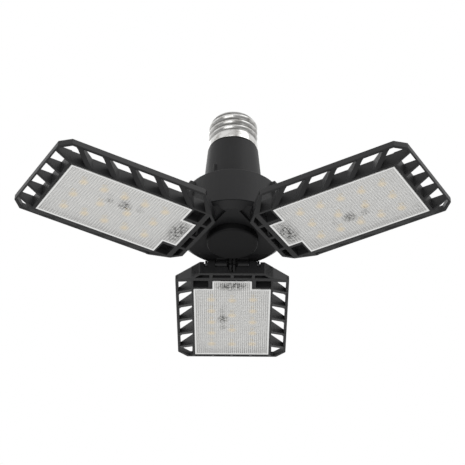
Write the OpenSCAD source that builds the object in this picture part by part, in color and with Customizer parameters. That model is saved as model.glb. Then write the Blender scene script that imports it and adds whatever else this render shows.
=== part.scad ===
// Deformable garage light: a screw-in hub with three folding LED panels.
// Millimetres, +Z up. The origin is on the axis of the screw base, where the
// shell's foot sits on the neck. The panels hang below it, one towards +Y.

/* [Screw base] */
// Outer radius of the plain band at the foot of the shell
shell_r = 13.2; // [12.8:0.1:13.4]
// Height of the plain band
band_h = 3.7; // [3:0.1:4.5]
// Height of the whole metal shell
shell_h = 18.4; // [17.5:0.1:20]
// Pitch of the screw thread
thread_pitch = 3.63; // [3.5:0.01:3.8]
// Number of thread turns
thread_turns = 3.4; // [3:0.1:3.6]
// Wall of the metal shell at the thread's root
shell_wall = 0.6; // [0.4:0.1:0.9]
// Radius of the centre contact
contact_r = 4.7; // [4:0.1:5.5]
// Height from the shell's foot to the tip of the contact
base_h = 23.4; // [22.5:0.1:25]

/* [Neck] */
// Outer radius at the shell
neck_top_r = 13.5; // [13.3:0.1:14]
// Outer radius at the hub
neck_foot_r = 16.1; // [15.5:0.1:17]
// Length from the shell down to the hub
neck_h = 30.8; // [26:0.1:36]
// Wall of the neck, the hub and the cap
case_wall = 2; // [1.6:0.1:2.4]

/* [Hub] */
// Radius of the hub at its top face
hub_top_r = 25.2; // [24:0.1:27]
// Radius of the hub at its widest seam
hub_seam_r = 28.7; // [27:0.1:30]
// Height of the hub housing above the seam
hub_h = 23; // [20:0.1:26]
// Radius of the hub's flat underside
hub_under_r = 25; // [24:0.1:26]
// Height of the base plate below the seam
hub_base_h = 3.5; // [3:0.1:4]
// Radius of the round cap in the middle of the underside
cap_r = 13.3; // [12:0.1:14]
// Height of the cap below the underside
cap_h = 4.2; // [3:0.1:4.6]

/* [Panels] */
// Upward tilt of the open panels, in degrees
tilt = 1.5; // [0:0.1:3]
// Radius of the outer face of a panel's inner end wall
end_u = 19.8; // [19.5:0.1:20]
// Half width of the inner end wall
end_half = 17; // [16:0.1:17.2]
// Radius where the diffuser's main window begins
lens_u = 34.8; // [34:0.1:36]
// Length of the diffuser's main window
lens_l = 67.4; // [60:0.1:75]
// Width of the diffuser's main window
lens_w = 41.2; // [38:0.1:42]
// Half width of the diffuser's tab at the hub end
tab_half = 10.5; // [9:0.1:11]
// Height of the frame from its front edge to its back
frame_h = 7.5; // [7:0.1:8]
// Depth of the tray that holds the board and the diffuser
tray_h = 4.7; // [4.5:0.1:5]
// Set-back of the frame's front edge behind the diffuser
front_gap = 0.25; // [0:0.05:0.5]

/* [Lattice] */
// Half width over the outer rim
rim_half = 30.3; // [29:0.1:31]
// Width of the rim bar along the sides
rim_w = 1.6; // [1.5:0.1:3]
// Radius of the rim's outer end
rim_end = 112.2; // [110:0.1:115]
// Width of the rim bar at the outer end
rim_end_w = 1; // [0.9:0.1:2]
// Height of the rim's front edge above the diffuser
rim_front = 4.4; // [4:0.1:5.2]
// Size of the outer corner chamfers
corner = 5.2; // [4:0.1:7]
// Number of diagonal fins on each side
fins = 5; // [4:1:5]
// Distance between the diagonal fins
fin_pitch = 14.15; // [13:0.05:14.5]
// Thickness of the diagonal fins
fin_t = 2.6; // [1.4:0.1:3]
// Radius of the first fin at the tray wall
fin_u = 36.6; // [36:0.1:37.5]
// Distance between the ribs at the outer end
rib_pitch = 10.7; // [10:0.1:10.8]
// Thickness of the ribs at the outer end
rib_t = 1.6; // [1.2:0.1:2]

/* [Hinges] */
// Distance of the hinge axis from the centre line
hinge_u = 22.2; // [22:0.1:22.4]
// Height of the hinge axis above the diffuser
hinge_w = 7.2; // [7:0.1:7.4]
// Radius of the hinge knuckles
knuckle_r = 2.4; // [2.2:0.1:2.5]
// Radius of the hinge screws
pin_r = 1.25; // [1:0.05:1.3]
// Radial running clearance of the hinge screws
pin_gap = 0.05; // [0.03:0.01:0.1]
// Turn of the panels down from their open position, in degrees
fold = 0; // [0:0.5:91.5]

/* [LED boards] */
// Thickness of the aluminium-core board
board_t = 1.3; // [1:0.1:1.6]
// Thickness of a light-emitting package
chip_h = 0.7; // [0.6:0.1:0.9]
// Distance between the packages along the two outer rows
row_pitch = 11.4; // [10:0.1:12]
// Distance between the packages along the middle row
mid_pitch = 15; // [14:0.1:16]

/* [Diffusers] */
// Thickness of the diffuser's window
lens_t = 1.5; // [1.2:0.1:1.8]
// Width of the flat border round the ribbed window
lens_border = 1.4; // [1.2:0.1:2]
// Distance between the fine ribs inside the window
lens_rib_pitch = 3; // [2.5:0.1:4]

/* [Driver] */
// Width of the driver board inside the neck
driver_neck_w = 20; // [16:0.5:20]
// Width of the driver board inside the hub
driver_hub_w = 38; // [30:1:40]
// Thickness of the driver board
driver_t = 1.6; // [1.2:0.1:1.6]
// Radius of each smoothing capacitor
cap_can_r = 5; // [4:0.5:5]

/* [Hidden] */
SIDES = ["back", "left", "right"];
SIDE_ANGLES = [90, 210, 330];
ROOT_NODES = ["screw_shell", "base_insulator", "center_contact", "neck_housing", "hub_housing",
    "hub_base", "center_cap", "housing_screws", "driver_board", "smoothing_capacitors",
    "transformer_core", "transformer_winding", "input_choke", "film_capacitor", "bridge_rectifier",
    "fuse_resistor", "live_lead", "neutral_lead"];
PANEL_NODES = ["frame", "led_board", "led_chips", "driver_chips", "diffuser", "hinge_screws",
    "hinge_washers", "board_screws", "lead_terminal", "lead_in", "lead_out"];

$fn = 64;
EPS = 0.02;

// heights of the fixed body
neck_foot_z = -neck_h;
seam_z = neck_foot_z - hub_h;
under_z = seam_z - hub_base_h;
cap_z = under_z - cap_h;
thread_root_r = shell_r - 1;
spigot_r = thread_root_r - shell_wall - 0.1;
spigot_h = 14;
collar_r = neck_top_r - 0.9;
collar_h = 0.6;
neck_plug_r = 14;
neck_plug_h = 5;
pillar_r = 3;
pillar_at = 20.5;
pillar_top_z = seam_z + 10;
screw_shaft_r = 1.4;
screw_head_r = 2.7;
base_hole_r = 11.9;

// the hinge axis and the space that the panel's end swings through
hinge_z = -58.75;
trough_half = end_half + 1.4;
trough_in = hinge_u - hinge_w - 0.4;
trough_z = hinge_z + (hinge_u - end_u) + 0.9;
lug_in = 3;
lug_out = 8.2;
washer_t = 0.5;
knuckle_in = 9;
knuckle_out = 13;
notch_half = 14.8;
head_h = 1.2;
head_r = 2.1;

// outlines of a panel, seen from the front
lens_end = lens_u + lens_l;
lens_half = lens_w / 2;
tray_half = lens_half + 1.1;
tray_end = lens_end + 1.6;
end_wall = 2;
cell_u = end_u + end_wall;
cell_l = 2.7;
tab_u = cell_u + cell_l + 2.6;
corner_u = end_u + (tray_half - end_half);
rim_in_u = end_u + (rim_half - end_half);
pocket_in = 12.6;
divider = 1.7;
strut_foot_u = 27.1;
strut_skin = 0.3;
ridge_u = 25.2;
ridge_half = 15;
ridge_w = 9.9;
fin_slope = 1.25;
fin_reach = rim_half - rim_w - tray_half;
fin_angle = atan(1 / fin_slope);
wire_r = 0.75;
wire_pair = 1;
wire_bend_w = hinge_w - 0.2;
wire_floor_w = 3.3;
terminal_u = 30.3;
chip_rows = 5;
mid_chips = 4;
first_chip_u = 45.4;
first_mid_u = 46.2;
row_half = 11.2;

// heights and faces of the driver board and its parts
board_foot_z = seam_z + 2;
board_step_z = neck_foot_z - neck_plug_h - 4;
board_top_z = -5;
board_face = driver_t / 2;
transformer_y = -board_face - 7;
transformer_z = board_foot_z + 9;

// places children drawn along +X, with the diffuser's face at height 0
module at_panel(angle) {
    rotate([0, 0, angle])
        translate([hinge_u, 0, hinge_z])
            rotate([0, fold - tilt, 0])
                translate([-hinge_u, 0, -hinge_w])
                    children();
}

// repeats children at both sides of the panel's middle line
module both_sides() {
    children();
    mirror([0, 1, 0]) children();
}

// a round bar along Y from y0 to y1, at radius u and height w
module cross_bar(r, u, w, y0, y1) {
    translate([u, y1, w]) rotate([90, 0, 0]) cylinder(r = r, h = y1 - y0);
}

function unit(v) = v / norm(v);

// a wire swept along its route, one ring of points at each bend
module wire(route, r) {
    sides = 8;
    last = len(route) - 1;
    rings = [for (i = [0 : last])
        let (ahead = unit(route[min(i + 1, last)] - route[max(i - 1, 0)]),
            across = unit(cross(ahead, [0, 1, 0])), up = cross(across, ahead))
        for (k = [0 : sides - 1]) route[i] + r * (cos(360 * k / sides) * across + sin(360 * k / sides) * up)];
    walls = [for (i = [0 : last - 1]) for (k = [0 : sides - 1])
        let (a = i * sides + k, b = i * sides + (k + 1) % sides)
        each [[a, b, b + sides], [a, b + sides, a + sides]]];
    near_end = [for (k = [sides - 1 : -1 : 0]) k];
    far_end = [for (k = [0 : sides - 1]) last * sides + k];
    polyhedron(points = rings, faces = concat(walls, [near_end, far_end]));
}

/* Screw base */

// helical ridge with a rounded crest, run out to nothing at both ends
module thread_ridge() {
    steps = 32;
    rings = round(thread_turns * steps);
    profile = [[-0.4, -1.5], [0.1, -1.45], [0.62, -0.85], [0.88, 0], [0.62, 0.85], [0.1, 1.45], [-0.4, 1.5]];
    n = len(profile);
    z0 = band_h + 1.2;
    function swell(i) = min(1, min(i, rings - i) / (steps / 3));
    points = [for (i = [0 : rings]) for (p = profile)
        let (a = 360 * i / steps, r = thread_root_r + (p[0] > 0 ? p[0] * swell(i) : p[0]))
        [r * cos(a), r * sin(a), z0 + thread_pitch * i / steps + p[1] * (0.4 + 0.6 * swell(i))]];
    sides = [for (i = [0 : rings - 1]) for (k = [0 : n - 1])
        let (k2 = (k + 1) % n)
        each [[i * n + k, i * n + k2, (i + 1) * n + k2], [i * n + k, (i + 1) * n + k2, (i + 1) * n + k]]];
    first_end = [for (k = [1 : n - 2]) [0, k + 1, k]];
    last_end = [for (k = [1 : n - 2]) [rings * n, rings * n + k, rings * n + k + 1]];
    polyhedron(points = points, faces = concat(sides, first_end, last_end));
}

module screw_shell() {
    inner_r = thread_root_r - shell_wall;
    color("lightgray") {
        rotate_extrude()
            polygon([[inner_r, 0], [shell_r, 0], [shell_r, band_h], [thread_root_r, band_h + 0.7],
                [thread_root_r, shell_h - 1.6], [thread_root_r - 0.9, shell_h],
                [inner_r - 0.9, shell_h], [inner_r, shell_h - 1.4]]);
        thread_ridge();
    }
}

module base_insulator() {
    ring_r = thread_root_r - shell_wall - 1;
    color("black")
        rotate_extrude()
            polygon([[1.5, shell_h - 2.2], [ring_r - 0.4, shell_h - 2.2], [ring_r - 0.05, shell_h - 0.4],
                [ring_r - 0.05, shell_h], [ring_r - 1, shell_h + 0.8], [contact_r + 1, base_h - 2.2],
                [contact_r, base_h - 1.8], [1.5, base_h - 1.8]]);
}

module center_contact() {
    color("goldenrod")
        rotate_extrude()
            polygon([[0, shell_h - 4], [1.4, shell_h - 4], [1.4, base_h - 1.8], [contact_r, base_h - 1.8],
                [contact_r, base_h - 1.1], [contact_r - 0.7, base_h - 0.4], [2, base_h], [0, base_h]]);
}

/* Fixed housing */

module neck_housing() {
    inner_r = neck_top_r - case_wall;
    color([0.13, 0.13, 0.14]) {
        rotate_extrude()
            polygon([[spigot_r - 1.6, spigot_h], [spigot_r, spigot_h], [spigot_r, 0],
                [collar_r, 0], [collar_r, -collar_h], [neck_top_r - 0.4, -collar_h],
                [neck_top_r, -collar_h - 0.4], [neck_foot_r, neck_foot_z], [neck_plug_r, neck_foot_z],
                [neck_plug_r, neck_foot_z - neck_plug_h], [neck_plug_r - 1.8, neck_foot_z - neck_plug_h],
                [neck_plug_r - 1.8, neck_foot_z + 1], [inner_r - 0.8, -4], [spigot_r - 1.6, 0]]);
        neck_key();
    }
}

// the small upright key at the foot of the neck
module neck_key() {
    key_h = 12.6;
    rotate([0, 0, 232])
        translate([neck_foot_r - 2, -0.6, neck_foot_z])
            cube([2, 1.2, key_h]);
}

// a flat pad on the hub's side above a hinge, which ends in a small ledge
module hub_shoulder() {
    half = 4.5;
    face_r = 27.8;
    foot_gap = 3;
    ledge_gap = 2.4;
    root_r = hub_top_r - 0.2;
    translate([root_r, -half, seam_z + foot_gap])
        cube([face_r - root_r, 2 * half, hub_h - foot_gap - ledge_gap]);
}

module hub_housing() {
    color([0.15, 0.15, 0.16])
        difference() {
            union() {
                difference() {
                    rotate_extrude()
                        polygon([[0, neck_foot_z], [hub_top_r - 0.9, neck_foot_z], [hub_top_r, neck_foot_z - 0.9],
                            [hub_seam_r, seam_z], [0, seam_z]]);
                    translate([0, 0, seam_z - EPS])
                        cylinder(r1 = hub_seam_r - case_wall, r2 = hub_top_r - case_wall, h = hub_h - 2.2);
                }
                for (angle = SIDE_ANGLES)
                    rotate([0, 0, angle]) hub_shoulder();
                intersection() {
                    for (angle = [30, 150, 270])
                        rotate([0, 0, angle]) translate([pillar_at, 0, pillar_top_z])
                            cylinder(r = pillar_r, h = neck_foot_z - pillar_top_z - 1);
                    translate([0, 0, seam_z])
                        cylinder(r1 = hub_seam_r - 1, r2 = hub_top_r - 1, h = hub_h);
                }
            }
            translate([0, 0, seam_z])
                cylinder(r = neck_plug_r + 0.05, h = hub_h + 1);
            for (angle = [30, 150, 270])
                rotate([0, 0, angle]) translate([pillar_at, 0, pillar_top_z - 1]) {
                    cylinder(r = screw_shaft_r + 0.2, h = hub_h);
                    translate([0, 0, neck_foot_z - pillar_top_z + 1 - 2.4])
                        cylinder(r = screw_head_r + 0.3, h = 5);
                }
        }
}

// the end of a panel swings up into this hollow as it folds
module hinge_trough() {
    translate([trough_in, -trough_half, under_z - 1])
        cube([hub_seam_r, 2 * trough_half, trough_z - under_z + 1]);
}

// the two fixed hinge lugs of one panel
module hinge_lugs() {
    both_sides() {
        cross_bar(knuckle_r, hinge_u, hinge_z, lug_in, lug_out);
        translate([hinge_u - 1.4, lug_in, hinge_z])
            cube([1.4 + knuckle_r, lug_out - lug_in, seam_z - hinge_z - 0.5]);
    }
}

module hub_base() {
    color([0.12, 0.12, 0.13])
        difference() {
            union() {
                difference() {
                    rotate_extrude()
                        polygon([[base_hole_r, under_z], [hub_under_r, under_z], [hub_seam_r - 0.2, seam_z - 0.15],
                            [hub_seam_r - 0.6, seam_z], [hub_seam_r - case_wall - 0.2, seam_z],
                            [hub_seam_r - case_wall - 0.5, seam_z + 1.6], [hub_seam_r - case_wall - 1.9, seam_z + 1.6],
                            [hub_seam_r - case_wall - 1.9, seam_z], [base_hole_r, seam_z]]);
                    for (angle = SIDE_ANGLES)
                        rotate([0, 0, angle]) hinge_trough();
                }
                for (angle = SIDE_ANGLES)
                    rotate([0, 0, angle]) hinge_lugs();
                for (angle = [30, 150, 270])
                    rotate([0, 0, angle]) translate([pillar_at, 0, seam_z - 1])
                        cylinder(r = pillar_r, h = pillar_top_z - seam_z + 1);
            }
            for (angle = SIDE_ANGLES)
                rotate([0, 0, angle]) {
                    cross_bar(pin_r + pin_gap, hinge_u, hinge_z, -lug_out - 1, lug_out + 1);
                    translate([hinge_u - 1.6, -2.2, under_z - 1]) cube([3.2, 4.4, hub_base_h + 2]);
                }
            for (angle = [30, 150, 270])
                rotate([0, 0, angle]) translate([pillar_at, 0, pillar_top_z - 8])
                    cylinder(r = screw_shaft_r + 0.03, h = 9);
        }
}

module center_cap() {
    color([0.14, 0.14, 0.15])
        rotate_extrude()
            polygon([[0, cap_z], [cap_r - 0.7, cap_z], [cap_r, cap_z + 0.7], [cap_r, under_z - 0.05],
                [base_hole_r - 0.1, under_z - 0.05], [base_hole_r - 0.1, under_z + 2.6],
                [base_hole_r - 1.7, under_z + 2.6], [base_hole_r - 1.7, cap_z + case_wall], [0, cap_z + case_wall]]);
}

module housing_screws() {
    head_z = neck_foot_z - 2.4;
    color("dimgray")
        for (angle = [30, 150, 270])
            rotate([0, 0, angle]) translate([pillar_at, 0, 0])
                difference() {
                    union() {
                        translate([0, 0, pillar_top_z - 7]) cylinder(r = screw_shaft_r, h = head_z - pillar_top_z + 7 + EPS);
                        translate([0, 0, head_z]) cylinder(r = screw_head_r, h = 1.8);
                    }
                    for (turn = [0, 90])
                        rotate([0, 0, turn]) translate([-1.6, -0.3, head_z + 0.8]) cube([3.2, 0.6, 2]);
                }
}

/* Driver */

module driver_board() {
    color("seagreen")
        translate([0, board_face, 0]) rotate([90, 0, 0])
            linear_extrude(driver_t)
                polygon([[-driver_hub_w / 2, board_foot_z], [driver_hub_w / 2, board_foot_z],
                    [driver_hub_w / 2, board_step_z], [driver_neck_w / 2, board_step_z + 3],
                    [driver_neck_w / 2, board_top_z], [-driver_neck_w / 2, board_top_z],
                    [-driver_neck_w / 2, board_step_z + 3], [-driver_hub_w / 2, board_step_z]]);
}

module smoothing_capacitors() {
    can_h = 15;
    color("midnightblue")
        for (x = [-7, 7])
            translate([x, board_face + 0.3 + cap_can_r, board_foot_z + 1])
                rotate_extrude()
                    polygon([[0, 0], [cap_can_r - 0.4, 0], [cap_can_r, 0.4], [cap_can_r, 1.6],
                        [cap_can_r - 0.4, 2.2], [cap_can_r, 2.8], [cap_can_r, can_h - 0.3],
                        [cap_can_r - 0.3, can_h], [0, can_h]]);
}

module transformer_core() {
    color("dimgray")
        translate([0, transformer_y, transformer_z])
            difference() {
                cube([17, 12, 14], center = true);
                for (x = [-5, 5]) translate([x, 0, 0]) cube([5, 13, 9], center = true);
            }
}

module transformer_winding() {
    color("gold")
        translate([0, transformer_y, transformer_z])
            for (x = [-5, 5]) translate([x, 0, 0]) cube([4.6, 13.4, 8.6], center = true);
}

module input_choke() {
    color("darkolivegreen")
        translate([0, board_face + 5, neck_foot_z + 8])
            rotate_extrude()
                polygon([[0, -5], [4.5, -5], [4.5, -4], [3.8, -4], [3.8, 4], [4.5, 4], [4.5, 5], [0, 5]]);
}

module film_capacitor() {
    color("firebrick")
        translate([-5, board_face, neck_foot_z + 16]) cube([10, 4.5, 8]);
}

module bridge_rectifier() {
    color([0.1, 0.1, 0.1])
        translate([-8, -board_face - 2.4, neck_foot_z + 8]) cube([6.5, 2.4, 5]);
}

module fuse_resistor() {
    color("forestgreen")
        translate([4.5, -board_face - 2.1, neck_foot_z + 12])
            rotate_extrude()
                polygon([[0, 0], [1.4, 0], [1.9, 0.6], [1.9, 2], [1.5, 2.6], [1.5, 7.4], [1.9, 8], [1.9, 9.4],
                    [1.4, 10], [0, 10]]);
}

module live_lead() {
    color("red")
        wire([[-3, -board_face - 0.7, board_top_z - 3], [-3, -board_face - 0.7, board_top_z + 3],
            [-1.5, -1, 5], [0, 0, 10], [0, 0, shell_h - 4]], 0.6);
}

module neutral_lead() {
    reach = thread_root_r - shell_wall - 0.05;
    rise = spigot_h + 1.1;
    color("white")
        wire([[3, -board_face - 0.7, board_top_z - 3], [3, -board_face - 0.7, board_top_z + 3],
            [5, -1, 8], [7.5, 0, rise - 1.5], [9.5, 0, rise], [reach, 0, rise]], 0.6);
}

/* Folding panels */

// front outline of the tray; its slanted inner corners lie just behind the struts
module tray_outline() {
    polygon([[end_u, strut_skin - end_half], [corner_u + strut_skin, -tray_half], [tray_end, -tray_half],
        [tray_end, tray_half], [corner_u + strut_skin, tray_half], [end_u, end_half - strut_skin]]);
}

// outline of the window with its tab, shrunk all round by the gap
module window_outline(gap) {
    polygon([[tab_u + gap, -tab_half + gap], [lens_u + gap, -tab_half + gap], [lens_u + gap, -lens_half + gap],
        [lens_end - gap, -lens_half + gap], [lens_end - gap, lens_half - gap], [lens_u + gap, lens_half - gap],
        [lens_u + gap, tab_half - gap], [tab_u + gap, tab_half - gap]]);
}

module rim_outline() {
    foot_u = rim_in_u + strut_skin;
    polygon([[end_u, strut_skin - end_half], [foot_u, -rim_half], [rim_end - corner, -rim_half],
        [rim_end, corner - rim_half], [rim_end, rim_half - corner], [rim_end - corner, rim_half], [foot_u, rim_half],
        [end_u, end_half - strut_skin]]);
}

// the space inside the rim's bars
module rim_opening() {
    in_half = rim_half - rim_w;
    in_end = rim_end - rim_end_w;
    polygon([[end_u, -in_half], [in_end - corner, -in_half], [in_end, corner - in_half],
        [in_end, in_half - corner], [in_end - corner, in_half], [end_u, in_half]]);
}

// upright plate whose front edge slopes from the tray's front to the rim's;
// its roots reach into both, and its edges lie a hair behind their faces
module sloping_plate(length, thickness, root) {
    hair = 0.05;
    translate([0, thickness / 2, 0]) rotate([90, 0, 0])
        linear_extrude(thickness)
            polygon([[-root, front_gap + hair], [0, front_gap + hair], [length, rim_front + hair],
                [length + root, rim_front + hair], [length + root, frame_h - hair], [-root, frame_h - hair]]);
}

// diagonal fins, which end inside the tray wall and the rim
module side_fins() {
    length = fin_reach / sin(fin_angle);
    intersection() {
        union()
            for (i = [0 : fins - 1])
                translate([fin_u + i * fin_pitch, tray_half, 0])
                    rotate([0, 0, fin_angle]) sloping_plate(length, fin_t, 2);
        translate([corner_u, tray_half - 1, 0])
            cube([rim_end - corner_u - 1, fin_reach + 2.2, frame_h]);
    }
}

module end_ribs() {
    for (i = [-2 : 2])
        translate([tray_end, i * rib_pitch, 0])
            sloping_plate(rim_end - rim_end_w - tray_end, rib_t, 0.7);
}

// strut that slopes from the tray's slanted corner out to the rim's corner;
// its ends reach into both, and its edges lie a hair behind their faces
module corner_strut() {
    hair = 0.05;
    root = 1.5;
    intersection() {
        linear_extrude(frame_h)
            polygon([[end_u + hair, end_half - root], [end_u + hair, end_half + hair], [rim_in_u - hair, rim_half - hair],
                [rim_in_u + 1.5, rim_half - hair], [rim_in_u + 0.9, rim_half - 0.8], [strut_foot_u, tray_half - 1.2],
                [strut_foot_u, end_half - root]]);
        translate([rim_end / 2, 0, 0]) rotate([90, 0, -90])
            linear_extrude(rim_end / 2)
                polygon([[0, front_gap + hair], [-tray_half, front_gap + hair], [-rim_half - 1, rim_front + 0.3],
                    [-rim_half - 1, frame_h - hair], [0, frame_h - hair]]);
    }
}

// low ridge across the back of the tray that closes the view past the hinge
module hinge_ridge() {
    foot_w = frame_h - 0.6;
    translate([ridge_u, -ridge_half, foot_w]) cube([1.8, 2 * ridge_half, ridge_w - foot_w]);
}

// shallow cooling grooves along the back of the tray
module back_grooves() {
    for (i = [-3 : 3])
        translate([lens_u + 2, i * 5.6 - 1.4, frame_h - 1.2]) cube([lens_l - 4, 2.8, 2]);
}

module front_hollows() {
    deep = tray_h + 1;
    translate([0, 0, -1]) linear_extrude(deep) window_outline(0);
    both_sides() {
        translate([tab_u + 0.1, pocket_in, -1]) cube([lens_u - 1.2 - tab_u, lens_half - pocket_in, deep]);
        translate([cell_u, divider / 2, -1]) cube([cell_l, tab_half - 0.2 - divider / 2, deep]);
        translate([0, 0, -1]) linear_extrude(deep)
            polygon([[cell_u, tab_half + 1.5], [cell_u + cell_l, tab_half + 1.5], [cell_u + cell_l, tray_half - 1.9],
                [cell_u, end_half]]);
    }
}

// cuts at the inner end: wire arch, lug slots, screw heads and hinge bores
module hinge_cuts() {
    slot_floor = hinge_w - knuckle_r - 0.35;
    lug_slot_l = hinge_u + knuckle_r + 0.4 - (end_u - 1);
    head_slot_l = cell_u + cell_l - (end_u - 1);
    arch_w = 3.2;
    translate([end_u - 1, 0, arch_w]) rotate([0, 90, 0])
        cylinder(r = 2.1, h = tab_u - end_u + 2);
    translate([end_u - 1, -2.1, arch_w]) cube([knuckle_r * 2 + 1, 4.2, frame_h]);
    both_sides() {
        translate([end_u - 1, lug_in - 0.9, slot_floor])
            cube([lug_slot_l, knuckle_in - lug_in + 0.9, frame_h]);
        translate([end_u - 1, knuckle_out, slot_floor])
            cube([head_slot_l, notch_half - knuckle_out, frame_h]);
        cross_bar(pin_r + pin_gap, hinge_u, hinge_w, knuckle_in - 1, knuckle_out + 1);
    }
}

module panel_frame() {
    color([0.16, 0.16, 0.17])
        difference() {
            union() {
                translate([0, 0, front_gap]) linear_extrude(frame_h - front_gap) tray_outline();
                translate([0, 0, rim_front]) linear_extrude(frame_h - rim_front)
                    difference() {
                        rim_outline();
                        rim_opening();
                    }
                both_sides() {
                    side_fins();
                    corner_strut();
                    cross_bar(knuckle_r, hinge_u, hinge_w, knuckle_in, knuckle_out);
                }
                end_ribs();
                hinge_ridge();
            }
            front_hollows();
            back_grooves();
            hinge_cuts();
        }
}

module led_board() {
    color("whitesmoke")
        translate([0, 0, tray_h - board_t])
            difference() {
                linear_extrude(board_t) window_outline(0.3);
                board_screw_places() translate([0, 0, -1]) cylinder(r = 1.1, h = board_t + 2, $fn = 32);
            }
}

// the four screws lie between the rows of light-emitting packages
module board_screw_places() {
    for (u = [lens_u + 4.2, lens_end - 4.2]) for (v = [-17, 17])
        translate([u, v, 0]) children();
}

// one light-emitting package on the board
module chip(u, v) {
    translate([u, v, tray_h - board_t - chip_h / 2]) cube([3.5, 2.8, chip_h], center = true);
}

module led_chips() {
    color("khaki") {
        for (i = [0 : chip_rows - 1]) for (v = [-row_half, row_half])
            chip(first_chip_u + i * row_pitch, v);
        for (i = [0 : mid_chips - 1])
            chip(first_mid_u + i * mid_pitch, 0);
    }
}

// a linear regulator beside the middle row, between two small resistors
module driver_chips() {
    spacing = 8.6;
    regulator = [4, 3, 1.4];
    resistor = [2.8, 1.8, 0.8];
    color([0.08, 0.08, 0.08])
        for (i = [-1 : 1])
            let (size = i == 0 ? regulator : resistor)
                translate([65 + i * spacing, 5.2, tray_h - board_t - size[2] / 2]) cube(size, center = true);
}

module diffuser() {
    ribs = floor((lens_l - 2 * lens_border - 1.5) / lens_rib_pitch);
    skirt = 1.1;
    color([0.93, 0.94, 0.93])
        difference() {
            linear_extrude(tray_h - board_t) window_outline(0.12);
            translate([0, 0, lens_t]) linear_extrude(tray_h) window_outline(0.12 + skirt);
            translate([tab_u - 1, -2.1, lens_t]) cube([skirt + 2, 4.2, tray_h]);
            for (i = [1 : ribs])
                translate([lens_u + lens_border + i * lens_rib_pitch, 0, lens_t]) rotate([0, 45, 0])
                    cube([0.6, lens_w - 2 * lens_border - 2, 0.6], center = true);
        }
}

module hinge_screws() {
    color("silver")
        both_sides()
            difference() {
                union() {
                    cross_bar(pin_r, hinge_u, hinge_w, lug_in + 0.1, knuckle_out + 0.1 + EPS);
                    cross_bar(head_r, hinge_u, hinge_w, knuckle_out + 0.1, knuckle_out + 0.1 + head_h);
                }
                translate([hinge_u - 2.5, knuckle_out + 0.1 + head_h - 0.5, hinge_w - 0.3]) cube([5, 1, 0.6]);
            }
}

module hinge_washers() {
    middle = (lug_out + knuckle_in) / 2;
    color("gainsboro")
        both_sides()
            difference() {
                cross_bar(head_r, hinge_u, hinge_w, middle - washer_t / 2, middle + washer_t / 2);
                cross_bar(pin_r + pin_gap, hinge_u, hinge_w, middle - 1, middle + 1);
            }
}

module board_screws() {
    face = tray_h - board_t;
    color("silver")
        board_screw_places()
            difference() {
                union() {
                    translate([0, 0, face - 0.8]) cylinder(r = 1.9, h = 0.8, $fn = 32);
                    translate([0, 0, face - EPS]) cylinder(r = 1, h = board_t - 0.1, $fn = 32);
                }
                for (turn = [0, 90])
                    rotate([0, 0, turn]) translate([-1.2, -0.2, face - 1.3]) cube([2.4, 0.4, 0.9]);
            }
}

// push-in terminal on the board's tab
module lead_terminal() {
    height = 1.6;
    length = 5.6;
    half = 6.2;
    gate = 1.6;
    color([0.1, 0.1, 0.1])
        translate([terminal_u, 0, tray_h - board_t - height])
            difference() {
                translate([0, -half, 0]) cube([length, 2 * half, height]);
                for (v = [-wire_pair, wire_pair])
                    translate([-1, v - gate / 2, height - 1.55]) cube([3.8, gate, 1.5]);
            }
}

// cores of the lead from the driver board down to the hinge, drawn in the hub's frame
module lead_in() {
    color([0.12, 0.12, 0.12])
        for (v = [-wire_pair, wire_pair])
            wire([[12.5, v, board_foot_z - 0.9], [hinge_u - 3.6, v, seam_z + 1.4], [hinge_u - 0.4, v, seam_z + 0.9],
                [hinge_u, v, seam_z - 0.6], [hinge_u, v, hinge_z + 1.1]], wire_r);
}

// cores of the same lead from the hinge to the terminal, in the panel's frame
module lead_out() {
    color([0.12, 0.12, 0.12])
        for (v = [-wire_pair, wire_pair])
            wire([[hinge_u, v, wire_bend_w], [hinge_u + 0.6, v, wire_floor_w + 1], [hinge_u + 2.4, v, wire_floor_w - 0.6],
                [tab_u + 1, v, wire_floor_w - 0.7], [terminal_u + 1.5, v, wire_floor_w - 0.7]], wire_r);
}

module panel_part(part) {
    if (part == "frame") panel_frame();
    if (part == "led_board") led_board();
    if (part == "led_chips") led_chips();
    if (part == "driver_chips") driver_chips();
    if (part == "diffuser") diffuser();
    if (part == "hinge_screws") hinge_screws();
    if (part == "hinge_washers") hinge_washers();
    if (part == "board_screws") board_screws();
    if (part == "lead_terminal") lead_terminal();
    if (part == "lead_out") lead_out();
}

screw_shell();
base_insulator();
center_contact();
neck_housing();
hub_housing();
hub_base();
center_cap();
housing_screws();
driver_board();
smoothing_capacitors();
transformer_core();
transformer_winding();
input_choke();
film_capacitor();
bridge_rectifier();
fuse_resistor();
live_lead();
neutral_lead();
for (i = [0 : 2]) {
    for (part = PANEL_NODES)
        at_panel(SIDE_ANGLES[i]) panel_part(part);
    rotate([0, 0, SIDE_ANGLES[i]]) lead_in();
}
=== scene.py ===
"""Looks of a screw-in garage light with three folding panels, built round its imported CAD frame."""

import logging
import math
from dataclasses import dataclass, field
from enum import Enum
from typing import Any, Iterable, Sequence

import bmesh
import bpy
from mathutils import Matrix, Quaternion, Vector


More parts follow.
